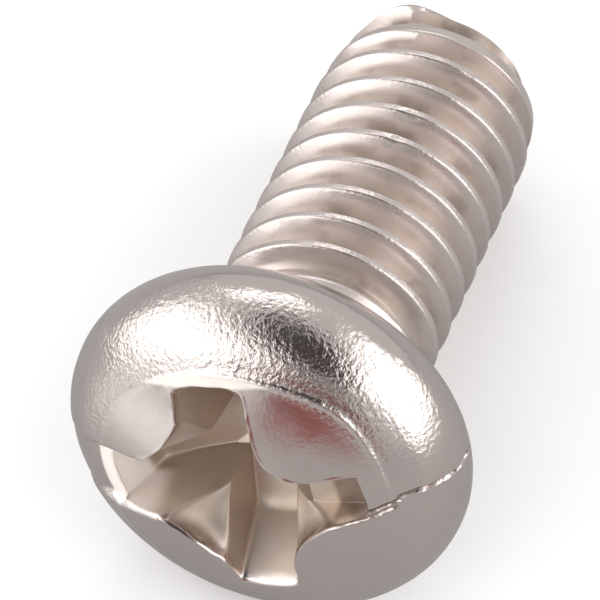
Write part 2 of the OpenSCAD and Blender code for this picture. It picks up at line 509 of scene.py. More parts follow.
@dataclass(frozen=True)
class Drive:
    """Cross recess over the slot, as level outlines at each height.

    Attributes:
        y: Distance of its axis from the axis of the head.
        reach: Length of a wing at the dome.
        lip: Height of the dome there.
        bottom: Height of the lowest point.
        half_width: Half the width of a wing at the dome.
        half_floor: Half its width at the bottom.
        well: Radius of the well at the dome.
        well_lip: Height of the dome over the wall of the well.
        taper: Slope of the ends and the well against the axis.
        cone: Slope of the bottom against a level plane.
        stretch: How far the long wing lies further out.
        shelf: Heights between which the squeezed wing's floor slopes inwards.
        step: Distance from the axis at which the squeezed wing drops.
        corner: Half the angle that a wing takes outside the ridge.
        spread: Half the angle that its end takes there.
        side_columns: Number of columns on a side of a wing.
        well_columns: Number of columns on the well between two wings.
        rolled: Heights between which the lobes get the round tips that they have at the dome.
        wings: The four wings, counter-clockwise.
    """

    y: float = 0.17
    reach: float = 2.17
    lip: float = 2.18
    bottom: float = 0.25
    half_width: float = 0.63
    half_floor: float = 0.52
    well: float = 1.33
    well_lip: float = 2.45
    taper: float = math.tan(math.radians(26.5))
    cone: float = math.tan(math.radians(25.0))
    stretch: float = 0.33
    shelf: tuple[float, float] = (1.77, 1.85)
    step: float = 1.02
    corner: float = math.radians(30.0)
    spread: float = math.radians(14.0)
    side_columns: int = 22
    well_columns: int = 36
    rolled: tuple[float, float] = (1.5, 2.3)
    wings: tuple[Wing, ...] = (
        Wing(
            turn=0.0, form=WingForm.SQUEEZED, end_columns=76, halves=(0.5, 0.38),
            narrow=((1.2, 2.2), (0.9, 1.3)), rolls=(0.35, 0.12), tip=1.05, rag=0.02,
        ),
        Wing(
            turn=math.radians(90.0), form=WingForm.PLAIN, end_columns=30, halves=(0.6, 0.58),
            narrow=((1.2, 2.2), (1.2, 2.2)), rolls=(0.12, 0.4), tip=1.42, rag=0.008,
        ),
        Wing(
            turn=math.radians(180.0), form=WingForm.LONG, end_columns=36, halves=(0.38, 0.62),
            narrow=((1.6, 2.5), (1.6, 2.5)), rolls=(0.4, 0.4), tip=1.42, rag=0.014,
        ),
        Wing(
            turn=math.radians(270.0), form=WingForm.PLAIN, end_columns=30, halves=(0.59, 0.46),
            narrow=((1.2, 2.2), (1.2, 2.2)), rolls=(0.4, 0.35), tip=1.32, rag=0.008,
        ),
    )

    def columns(self) -> list[Column]:
        """List the columns once round the recess.

        Returns:
            The columns, counter-clockwise from the squeezed wing.
        """
        found = []
        for number, wing in enumerate(self.wings):
            parts = (
                (Part.INTO_END, self.side_columns, -self.corner, -self.spread),
                (Part.END, wing.end_columns, -self.spread, self.spread),
                (Part.OUT_OF_END, self.side_columns, self.spread, self.corner),
                (Part.WELL, self.well_columns, self.corner, math.pi / 2 - self.corner),
            )
            for part, count, start, end in parts:
                for k in range(count):
                    along = k / count
                    found.append(Column(number, part, along, wing.turn + mix(start, end, along)))
        return found

    def floor_radius(self, z: float) -> float:
        """Radius of the cone at the bottom of the recess at a height."""
        return max(0.0, z - self.bottom) / self.cone

    def end_radius(self, form: WingForm, z: float) -> float:
        """Find how far a wing reaches at a height.

        Args:
            form: Form of the wing.
            z: Height of the outline.

        Returns:
            The distance from the wing's own centre.
        """
        outer = self.reach - (self.lip - z) * self.taper
        floor = self.floor_radius(z)
        if form is WingForm.SQUEEZED:
            outer = mix(self.step, outer, ease(*self.shelf, z))
        return max(0.0, soft_min(outer, floor, 0.16 * min(1.0, floor) + 1e-6))

    def half_at(self, wing: Wing, side: int, z: float, x: float) -> float:
        """Find half the width of a wing.

        Args:
            wing: The wing.
            side: 0 to the right of its direction, 1 to the left.
            z: Height of the outline.
            x: Distance from the wing's own centre.

        Returns:
            Half the width there.
        """
        half = mix(self.half_floor, self.half_width, (z - self.bottom) / (self.lip - self.bottom))
        start, end = wing.narrow[side]
        outward = max(0.0, min(1.0, (x - start) / (end - start)))
        return min(half * mix(1.0, wing.halves[side] / self.half_width, outward), x)

    def end_form(self, form: WingForm, z: float) -> tuple[float, float, float]:
        """Find the arc on which the end of a wing lies.

        Args:
            form: Form of the wing.
            z: Height of the outline.

        Returns:
            Radius of the arc, shift of its centre, and its roundness, where 1 is a circle.
        """
        radius = self.end_radius(form, z)
        if form is WingForm.LONG:
            return radius, self.stretch * min(1.0, radius), mix(1.0, 0.5, ease(0.8, 1.2, radius))
        if form is WingForm.SQUEEZED:
            return radius, 0.0, mix(1.0, 0.15, ease(0.9, 1.4, self.floor_radius(z)))
        return radius, 0.0, 1.0

    def side_of(self, wing: Wing, side: int, z: float) -> tuple[float, float]:
        """Find where a side of a wing starts and ends.

        Args:
            wing: The wing.
            side: 0 to the right of its direction, 1 to the left.
            z: Height of the outline.

        Returns:
            Distances of the root and the corner from the axis.
        """
        radius, shift, roundness = self.end_form(wing.form, z)
        half = min(self.half_at(wing, side, z, radius), radius / math.sqrt(2.0))
        corner = shift + math.sqrt(max(0.0, radius**2 - roundness * half**2))
        ring = max(0.0, self.well - (self.well_lip - z) * self.taper)
        across = self.half_at(wing, side, z, self.well)
        root = max(math.sqrt(max(0.0, ring**2 - across**2)), across)
        root += wing.rolls[side] * ease(*self.rolled, z)
        return min(corner, root), corner

    def on_end(self, wing: Wing, z: float, along: float) -> Vector:
        """Place a point on the end of a wing that points along +X.

        Args:
            wing: The wing.
            z: Height of the outline.
            along: Place along the end, from 0 to 1.

        Returns:
            The point.
        """
        radius, shift, roundness = self.end_form(wing.form, z)
        right = self.half_at(wing, 0, z, self.side_of(wing, 0, z)[1] - shift)
        left = self.half_at(wing, 1, z, self.side_of(wing, 1, z)[1] - shift)
        v = mix(-right, left, along)
        return Vector((shift + math.sqrt(max(0.0, radius**2 - roundness * v**2)), v, z))

    def on_well(self, wing: Wing, after: Wing, z: float, along: float) -> Vector:
        """Place a point on the well after a wing that points along +X.

        Args:
            wing: The wing.
            after: The next wing.
            z: Height of the outline.
            along: Place along the well, from 0 to 1.

        Returns:
            The point.
        """
        root = self.side_of(wing, 1, z)[0]
        next_root = self.side_of(after, 0, z)[0]
        start = Vector((root, self.half_at(wing, 1, z, root), z))
        end = Vector((self.half_at(after, 0, z, next_root), next_root, z))
        corner = math.hypot(self.half_at(wing, 1, z, self.well), self.half_at(after, 0, z, self.well))
        ring = max(corner, self.well - (self.well_lip - z) * self.taper)
        tip = mix(ring, max(corner, wing.tip), ease(*self.rolled, z))
        angle = (math.atan2(start.y, start.x) + math.atan2(end.y, end.x)) / 2.0
        pull = Vector((tip * math.cos(angle), tip * math.sin(angle), z)) * 2.0 - (start + end) / 2.0
        return start * (1.0 - along) ** 2 + pull * (2.0 * along * (1.0 - along)) + end * along**2

    def point(self, column: Column, z: float) -> Vector:
        """Place a column on the wall of the recess.

        Args:
            column: Column of the mesh.
            z: Height of the outline.

        Returns:
            The place on the screw's own axes.
        """
        wing = self.wings[column.wing]
        if column.part is Part.END:
            here = self.on_end(wing, z, column.along)
        elif column.part is Part.WELL:
            here = self.on_well(wing, self.wings[(column.wing + 1) % len(self.wings)], z, column.along)
        else:
            side = 1 if column.part is Part.OUT_OF_END else 0
            root, corner = self.side_of(wing, side, z)
            x = mix(corner, root, column.along) if side else mix(root, corner, column.along)
            half = self.half_at(wing, side, z, min(x, corner - self.end_form(wing.form, z)[1]))
            here = Vector((x, half if side else -half, z))
        return Matrix.Rotation(wing.turn, 3, "Z") @ here + Vector((0.0, self.y, 0.0))


@dataclass
class HeadMesh:
    """The head as one sheet of columns, from the bottom of the recess to the inside of the neck.

    Attributes:
        form: Turned form of the head.
        drive: Recess in it.
        ridge: Burr ring on the dome.
        trace: Open end of the slot.
        seam: Closed end of the slot.
        lip_round: Radius at which the recess turns over into the dome.
        end_round: The same where the metal was drawn up, before the factors of the wings.
        rolled: Wing, part of its outline and factor on that radius.
        pucker: Height of the faint waves all over the head.
        beside: Distance to either side of the ridge over which the sheet is fine.
        past: Radius outside of which the sheet follows the shoulder.
        margin: Distance past the lip's round at which the dome's rings begin.
        foot: Distance under the lip at which the level rings end.
        burr: Height of the burr on the lip.
        bulge: Direction of the long wing, and the height and angle by which rings bulge past it.
        columns: Columns of the sheet.
        rows: Rings of the sheet, one point for each column.
    """

    form: HeadForm = HeadForm()
    drive: Drive = Drive()
    ridge: PunchRidge = PunchRidge()
    trace: SlotTrace = SlotTrace()
    seam: Seam = Seam()
    lip_round: float = 0.08
    end_round: float = 0.15
    rolled: tuple[tuple[int, Part, float], ...] = (
        (1, Part.END, 1.3), (3, Part.END, 1.6), (3, Part.WELL, 1.0),
    )
    pucker: float = 0.006
    beside: float = 0.085
    past: float = 2.87
    margin: float = 0.025
    foot: float = 0.16
    burr: float = 0.02
    bulge: tuple[float, float, float] = (math.radians(175.0), 0.2, 0.3)
    columns: list[Column] = field(default_factory=list)
    rows: list[list[Vector]] = field(default_factory=list)

    def on_head(self, x: float, y: float) -> Vector:
        """Place a point on the marked upper surface of the head.

        Args:
            x: Place across the head.
            y: Place across the head.

        Returns:
            The place with its height.
        """
        distance = math.hypot(x, y)
        return self.marked(Vector((x, y, self.form.height_at(distance))), self.form.slope(distance))

    def marked(self, base: Vector, lean: float) -> Vector:
        """Move a point of the turned form by the marks that the head carries there.

        Args:
            base: Point on the turned form.
            lean: Angle of its normal against the axis.

        Returns:
            The moved point.
        """
        tilted = Vector((math.sin(lean), 0.0, math.cos(lean)))
        normal = Matrix.Rotation(math.atan2(base.y, base.x), 3, "Z") @ tilted
        sunk = self.trace.lift(*base)
        lift = sunk + self.seam.lift(base.x, base.y) + self.pucker * noise.noise(base * 1.3)
        if base.z > self.form.girth + 0.6:
            lift += self.ridge.lift(base.x, base.y) * (1.0 + 4.0 * sunk)
        return base + normal * lift

    @staticmethod
    def smoothed(ring: list[Vector], passes: int) -> list[Vector]:
        """Round the corners of a closed ring.

        Args:
            ring: Points of the ring.
            passes: How often each point moves towards its neighbours.

        Returns:
            The rounded ring.
        """
        count = len(ring)
        for _ in range(passes):
            ring = [(ring[k - 1] + ring[k] * 2.0 + ring[(k + 1) % count]) / 4.0 for k in range(count)]
        return ring

    def wall(self, heights: list[float], passes: int = 7) -> list[Vector]:
        """Make a ring on the wall of the recess.

        Args:
            heights: Height of each column.
            passes: How often the ring is rounded.

        Returns:
            The ring.
        """
        ring = [self.drive.point(column, z) for column, z in zip(self.columns, heights)]
        return self.smoothed(ring, passes)

    def lip_heights(self) -> list[float]:
        """Find the height at which each column leaves the recess.

        Returns:
            One height for each column.
        """
        heights = []
        for column in self.columns:
            z = self.drive.lip
            for _ in range(6):
                spot = self.drive.point(column, z)
                z = self.on_head(spot.x, spot.y).z
            heights.append(z)
        return heights

    def lip_ring(self, lips: list[float]) -> tuple[list[Vector], list[Vector]]:
        """Make the torn edge at which the recess meets the dome.

        Args:
            lips: Height of each column there.

        Returns:
            The ring and the level directions away from the recess.
        """
        ring = self.wall(lips)
        count = len(ring)
        away = []
        for k in range(count):
            step = ring[(k + 1) % count] - ring[k - 1]
            away.append(Vector((step.y, -step.x, 0.0)).normalized())
        away = [direction.normalized() for direction in self.smoothed(away, 4)]
        torn = []
        for spot, out, column in zip(ring, away, self.columns):
            rag = self.drive.wings[column.wing].rag
            tear = rag * (noise.noise(spot * 3.1) + 0.5 * noise.noise(spot * 8.3))
            torn.append(self.on_head(*(spot + out * tear).xy))
        return torn, away

    def inner_rows(self, lips: list[float]) -> None:
        """Make the rings from the bottom of the recess up to the foot of the lip.

        Args:
            lips: Height at which each column leaves the recess.
        """
        bottom = self.drive.bottom
        low, high = self.drive.shelf
        cone = [bottom + 0.9 * (k / 18) ** 1.1 for k in range(19)]
        rise = [mix(cone[-1], low - 0.03, k / 9) for k in range(1, 10)]
        levels = cone + rise + [mix(low, high, k / 11) for k in range(12)]
        for number, z in enumerate(levels):
            limit = self.foot + 0.003 * (len(levels) - number)
            self.rows.append(self.wall([min(z, lip - limit) for lip in lips], 7 if z > bottom + 0.2 else 1))
        for k in range(1, 10):
            tops = [(min(high, lip - self.foot), lip - turn) for lip, turn in zip(lips, self.rounds())]
            self.rows.append(self.wall([mix(foot, top, k / 10) for foot, top in tops]))

    def rounds(self) -> list[float]:
        """List the radius of the lip at each column.

        Returns:
            The radii, which change smoothly.
        """
        rolled = {(wing, part): factor for wing, part, factor in self.rolled}
        found = [self.end_round * rolled.get((column.wing, column.part), 0.0) for column in self.columns]
        return self.smoothed([max(turn, self.lip_round) for turn in found], 12)

    def turn_over(self, lips: list[float], torn: list[Vector], away: list[Vector]) -> None:
        """Make the round and the burr of the lip.

        Args:
            lips: Height at which each column leaves the recess.
            torn: Ring of the lip.
            away: Level directions away from the recess.
        """
        below = self.wall([lip - turn for lip, turn in zip(lips, self.rounds())])
        outer = self.beyond(torn, away, 0.0)
        for part in (0.0, 0.18, 0.36, 0.54, 0.72, 0.88, 1.0):
            ring = []
            for foot, spot, end in zip(below, torn, outer):
                burr = self.burr * (1.0 + noise.noise(spot * 4.0)) * math.sin(math.pi * part) ** 2
                place = foot * (1.0 - part) ** 2 + spot * (2.0 * part * (1.0 - part)) + end * part**2
                ring.append(place + Vector((0.0, 0.0, burr)))
            self.rows.append(ring)

    def ring_at(self, off: float, weight: float) -> list[Vector]:
        """Make a ring beside the punch ridge, which bulges past the long wing.

        Args:
            off: Distance from the ridge, or from the head's axis where the ring doesn't follow the ridge.
            weight: How much the ring follows the ridge.

        Returns:
            The ring on the marked surface.
        """
        ring = []
        past_wing, bulge, width = self.bulge
        for column in self.columns:
            side = math.remainder(column.heading - past_wing, TURN)
            ridge = self.ridge.radius_at(column.heading) + bulge * math.exp(-((side / width) ** 2))
            reach = off + ridge * weight
            ring.append(self.on_head(reach * math.cos(column.heading), reach * math.sin(column.heading)))
        return ring

    def level_ring(self, radius: float, z: float) -> list[Vector]:
        """Make a plain ring about the head's own axis."""
        turns = [column.heading for column in self.columns]
        return [Vector((radius * math.cos(turn), radius * math.sin(turn), z)) for turn in turns]

    def beyond(self, torn: list[Vector], away: list[Vector], more: float) -> list[Vector]:
        """Move the ring of the lip outwards on the head, past the lip's round.

        Args:
            torn: Ring of the lip.
            away: Level directions away from the recess.
            more: Further distance past the round.

        Returns:
            The ring on the marked surface.
        """
        reaches = [max(self.lip_round, turn * 0.6) + more for turn in self.rounds()]
        return [self.on_head(*(spot + out * reach).xy) for spot, out, reach in zip(torn, away, reaches)]

    def outer_rows(self, torn: list[Vector], away: list[Vector]) -> None:
        """Make the rings from the lip over the head to the inside of the neck.

        Args:
            torn: Ring of the lip.
            away: Level directions away from the recess.
        """
        edge = self.beyond(torn, away, self.margin)
        self.rows.append(edge)
        ridge = self.ring_at(-self.beside, 1.0)
        for k in range(1, 12):
            blend = [start.lerp(end, k / 12) for start, end in zip(edge, ridge)]
            self.rows.append([self.on_head(*spot.xy) for spot in blend])
        for k in range(11):
            self.rows.append(self.ring_at(mix(-self.beside, self.beside, k / 10), 1.0))
        for k in range(1, 5):
            self.rows.append(self.ring_at(mix(self.beside, self.past, k / 4), 1.0 - k / 4))
        start = self.form.slope(self.past)
        for k in range(1, 21):
            lean = mix(start, math.pi / 2, k / 20)
            radius = self.form.shoulder_x + self.form.shoulder * math.sin(lean)
            z = self.form.girth + self.form.shoulder * math.cos(lean)
            self.rows.append([self.marked(spot, lean) for spot in self.level_ring(radius, z)])
        for radius, z in self.form.underside():
            self.rows.append(self.level_ring(radius, z))

    def build(self) -> bpy.types.Object:
        """Lay the sheet and close it.

        Returns:
            The head in millimetres on the screw's own axes.
        """
        self.columns = self.drive.columns()
        lips = self.lip_heights()
        torn, away = self.lip_ring(lips)
        self.inner_rows(lips)
        self.turn_over(lips, torn, away)
        self.outer_rows(torn, away)
        count = len(self.columns)
        last = len(self.rows) - 1
        head = lay_sheet("head", count, last, lambda column, row: self.rows[row][column % count])
        close_seams(WELD)
        dirt = head.data.attributes.new(SEAM_DIRT, "FLOAT", "POINT")
        for vertex in head.data.vertices:
            if vertex.co.z > self.form.girth - 0.3:
                dirt.data[vertex.index].value = self.seam.dirt(vertex.co.x, vertex.co.y)
        LOG.info("head: %d columns, %d rings, %d faces", count, len(self.rows), len(head.data.polygons))
        return head


@dataclass(frozen=True)
class Shank:
    """Plain neck and rolled thread as one helical strip.

    Attributes:
        length: Length under the head.
        pitch: Pitch of the thread.
        neck: Radius of the plain neck.
        neck_length: Length of the plain neck.
        runout: Length in which the thread rises out of it.
        crest: Radius over the crests.
        root: Radius at the roots.
        lead: Length of the tapered lead.
        lead_radius: Radius where the lead meets the chamfer.
        chamfer: Length of the chamfer.
        end: Radius of the end face.
        turn: Turn of the thread about the axis.
        start: Distance under the head at which the strip starts, above the bearing face.
        cut_in: Distance under the head at which it is cut off, inside the neck's fillet.
        burr: Height of the burr where the thread runs out over the end face.
        burr_turn: Direction of that burr.
        burr_half: Half the angle that it takes.
        nick: Depth of the nicks in the crest.
        steps: Steps of the strip in one turn.
    """

    length: float = 8.1
    pitch: float = 0.7
    neck: float = 1.75
    neck_length: float = 0.95
    runout: float = 0.8
    crest: float = 1.94
    root: float = 1.53
    lead: float = 1.2
    lead_radius: float = 1.76
    chamfer: float = 0.22
    end: float = 1.48
    turn: float = math.radians(47.0)
    start: float = -0.65
    cut_in: float = 0.12
    burr: float = 0.3
    burr_turn: float = math.radians(96.0)
    burr_half: float = math.radians(34.0)
    nick: float = 0.05
    steps: int = 144

    def profile(self) -> list[tuple[float, float]]:
        """List one pitch of the thread, with round edges and a hollow along the crest.

        Returns:
            Distances along the axis and radii.
        """
        top = self.crest
        base = self.root
        rise = [
            (0.0, base), (0.065, base - 0.004), (0.13, base), (0.16, base + 0.03),
            (0.235, mix(base, top, 0.43)), (0.3, mix(base, top, 0.8)), (0.335, top - 0.034),
            (0.355, top - 0.008), (0.375, top), (0.415, top - 0.012),
        ]
        fall = [(0.83 - along, radius) for along, radius in reversed(rise[3:-1])]
        return rise + fall + [(self.pitch, base)]

    def envelope(self, along: float) -> float:
        """Find the largest radius at a distance under the head.

        Args:
            along: Distance under the head.

        Returns:
            The radius of the blank's taper and chamfer.
        """
        taper = self.length - self.lead
        edge = self.length - self.chamfer
        if along < taper:
            return self.crest
        if along < edge:
            return mix(self.crest, self.lead_radius, (along - taper) / (edge - taper))
        part = (along - edge) / self.chamfer
        return max(0.1, self.lead_radius + (self.end - self.lead_radius) * part * (0.6 + 0.4 * part))

    def swell(self, along: float, angle: float) -> float:
        """Find how far the burr at the tip stands out.

        Args:
            along: Distance under the head.
            angle: Direction about the axis.

        Returns:
            The height of the burr.
        """
        off = abs(math.remainder(angle - self.burr_turn, TURN))
        near = max(0.0, 1.0 - abs(along - self.length) / (self.pitch / 2.0))
        if off > self.burr_half:
            return 0.0
        return self.burr * near * math.cos(math.pi / 2.0 * off / self.burr_half) ** 2

    def point(self, along: float, full: float, angle: float) -> Vector:
        """Place a point of the strip.

        Args:
            along: Distance under the head.
            full: Radius of the full thread there.
            angle: Direction about the axis.

        Returns:
            The place on the screw's own axes.
        """
        fade = ease(self.neck_length, self.neck_length + self.runout, along)
        radius = soft_min(mix(self.neck, full, fade), self.envelope(along) + 0.012, 0.05)
        radius += self.swell(along, angle)
        x, y = math.cos(angle), math.sin(angle)
        if full > self.crest - 0.035 and fade > 0.2:
            radius -= self.nick * max(0.0, speckle(x * 5.0, y * 5.0, along * 4.0) - 0.35)
        radius += 0.003 * speckle(x * 3.0, y * 3.0, along * 2.0)
        return Vector((radius * x, radius * y, -along))

    @staticmethod
    def cut(along: float, side: float) -> None:
        """Cut the strip square to the axis and close the cut.

        Args:
            along: Distance under the head.
            side: 1 takes away what lies beyond the cut, -1 what lies before it.
        """
        bpy.ops.mesh.select_all(action="SELECT")
        bpy.ops.mesh.bisect(
            plane_co=(0.0, 0.0, -along), plane_no=(0.0, 0.0, -side),
            use_fill=True, clear_outer=True, threshold=1e-5,
        )

    def build(self) -> bpy.types.Object:
        """Lay the strip, close it into a solid and cut it at both ends.

        Returns:
            The shank in millimetres on the screw's own axes.
        """
        profile = self.profile()
        turns = (self.length - self.start) / self.pitch + 1.5

        def place(column: int, row: int) -> Vector:
            """Place the vertex in a column and a row of the strip."""
            along = self.start + self.pitch * column / self.steps + profile[row][0]
            return self.point(along, profile[row][1], self.turn - TURN * column / self.steps)

        shank = lay_sheet("shank", math.ceil(turns * self.steps), len(profile) - 1, place)
        close_seams(WELD)
        bpy.ops.object.mode_set(mode="EDIT")
        self.cut(self.length, 1.0)
        self.cut(self.cut_in, -1.0)
        bpy.ops.mesh.select_all(action="SELECT")
        bpy.ops.mesh.normals_make_consistent(inside=False)
        bpy.ops.object.mode_set(mode="OBJECT")
        LOG.info("shank: %d faces", len(shank.data.polygons))
        return shank


@dataclass(frozen=True)
class Band:
    """Range of a measure on the screw over which a mask goes from one value to another.

    Attributes:
        measure: Name of the measure, an output of the axes group.
        ramp: Start and end of the range, and the values there if they aren't 0 and 1.
    """

    measure: str
    ramp: tuple[float, ...]


@dataclass(frozen=True)
class Patches:
    """Soft patches of noise.

    Attributes:
        scale: Scale of the noise.
        detail: Number of its octaves.
        ramp: Noise at which they begin and are full, and the values there if they aren't 0 and 1.
    """

    scale: float
    detail: float
    ramp: tuple[float, ...]


@dataclass(frozen=True)
class Nodes:
    """Short ways to add and link shader nodes.

    Attributes:
        tree: Node tree that they go into.
    """

    tree: bpy.types.NodeTree

    def add(self, kind: str, **values: object) -> bpy.types.Node:
        """Add a node and set its own properties.

        Args:
            kind: Type of the node.
            values: Names and values of its properties.

        Returns:
            The node.
        """
        node = self.tree.nodes.new(kind)
        for name, value in values.items():
            setattr(node, name, value)
        return node

    def feed(self, value: object, socket: bpy.types.NodeSocket) -> None:
        """Link a socket into another, or set a number there.

        Args:
            value: Output socket or number.
            socket: Input socket that takes it.
        """
        if isinstance(value, bpy.types.NodeSocket):
            self.tree.links.new(value, socket)
        else:
            socket.default_value = value

    def maths(self, operation: str, first: object, second: object) -> bpy.types.NodeSocket:
        """Combine two values.

        Args:
            operation: Name of the operation.
            first: Output socket or number.
            second: Output socket or number.

        Returns:
            The result.
        """
        node = self.add("ShaderNodeMath", operation=operation)
        self.feed(first, node.inputs[0])
        self.feed(second, node.inputs[1])
        return node.outputs[0]

    def times(self, first: object, *others: object) -> bpy.types.NodeSocket:
        """Multiply values.

        Args:
            first: Output socket or number.
            others: Output sockets or numbers.

        Returns:
            The product.
        """
        for other in others:
            first = self.maths("MULTIPLY", first, other)
        return first

    def ramp(
        self, source: object, low: float, high: float, first: object = 0.0, last: object = 1.0
    ) -> bpy.types.NodeSocket:
        """Map a range of a value smoothly to another range.

        Args:
            source: Value to map.
            low: Start of its range.
            high: End of its range.
            first: Result at the start.
            last: Result at the end.

        Returns:
            The mapped value.
        """
        node = self.add("ShaderNodeMapRange", interpolation_type="SMOOTHSTEP")
        names = ("Value", "From Min", "From Max", "To Min", "To Max")
        for name, value in zip(names, (source, low, high, first, last)):
            self.feed(value, node.inputs[name])
        return node.outputs["Result"]

    def blend(self, factor: object, first: object, second: object) -> bpy.types.NodeSocket:
        """Mix two colours.

        Args:
            factor: Share of the second colour.
            first: Output socket or three numbers.
            second: Output socket or three numbers.

        Returns:
            The mixed colour.
        """
        node = self.add("ShaderNodeMix", data_type="RGBA")
        self.feed(factor, node.inputs["Factor"])
        for name, colour in (("A", first), ("B", second)):
            self.feed((*colour, 1.0) if isinstance(colour, tuple) else colour, node.inputs[name])
        return node.outputs["Result"]

    def vector(self, operation: str, first: object, second: Triple = (0.0, 0.0, 0.0)) -> bpy.types.Node:
        """Add a vector operation.

        Args:
            operation: Name of the operation.
            first: Output socket.
            second: Three numbers.

        Returns:
            The node.
        """
        node = self.add("ShaderNodeVectorMath", operation=operation)
        self.feed(first, node.inputs[0])
        self.feed(second, node.inputs[1])
        return node

    def split(self, place: object) -> bpy.types.Node:
        """Split a place into its coordinates.

        Args:
            place: Output socket of the place.

        Returns:
            The node, with the outputs X, Y and Z.
        """
        node = self.add("ShaderNodeSeparateXYZ")
        self.feed(place, node.inputs[0])
        return node

    def in_plate(self, seen: object, mirrored: object) -> bpy.types.NodeSocket:
        """Give one value where a thing is seen or lights, and another where the plate mirrors it."""
        return self.ramp(self.add("ShaderNodeLightPath").outputs["Is Glossy Ray"], 0.0, 1.0, seen, mirrored)

    def mask(self, axes: bpy.types.Node, bands: tuple[Band, ...]) -> bpy.types.NodeSocket:
        """Multiply the ramps of some bands over the measures of the axes group."""
        return self.times(*(self.ramp(axes.outputs[one.measure], *one.ramp) for one in bands))

    def patches(self, place: object, kind: Patches) -> bpy.types.NodeSocket:
        """Make soft patches of noise."""
        return self.ramp(self.grain(place, kind.scale, kind.detail), *kind.ramp)

    def grain(
        self, place: object, scale: float, detail: float, stretch: Triple = (1.0, 1.0, 1.0)
    ) -> bpy.types.NodeSocket:
        """Make noise.

        Args:
            place: Coordinates.
            scale: Scale of the noise.
            detail: Number of its octaves.
            stretch: Scale of each axis before it.

        Returns:
            The noise, about 0.5 on average.
        """
        fit = self.add("ShaderNodeMapping")
        self.feed(place, fit.inputs["Vector"])
        self.feed(stretch, fit.inputs["Scale"])
        node = self.add("ShaderNodeTexNoise")
        self.feed(scale, node.inputs["Scale"])
        self.feed(detail, node.inputs["Detail"])
        self.feed(fit.outputs["Vector"], node.inputs["Vector"])
        return node.outputs["Fac"]


def new_material(name: str) -> tuple[bpy.types.Material, Nodes, bpy.types.Node]:
    """Make a plain material.

    Args:
        name: Its name.

    Returns:
        The material, its nodes and its shader.
    """
    material = bpy.data.materials.new(name)
    material.use_nodes = True
    return material, Nodes(material.node_tree), material.node_tree.nodes["Principled BSDF"]


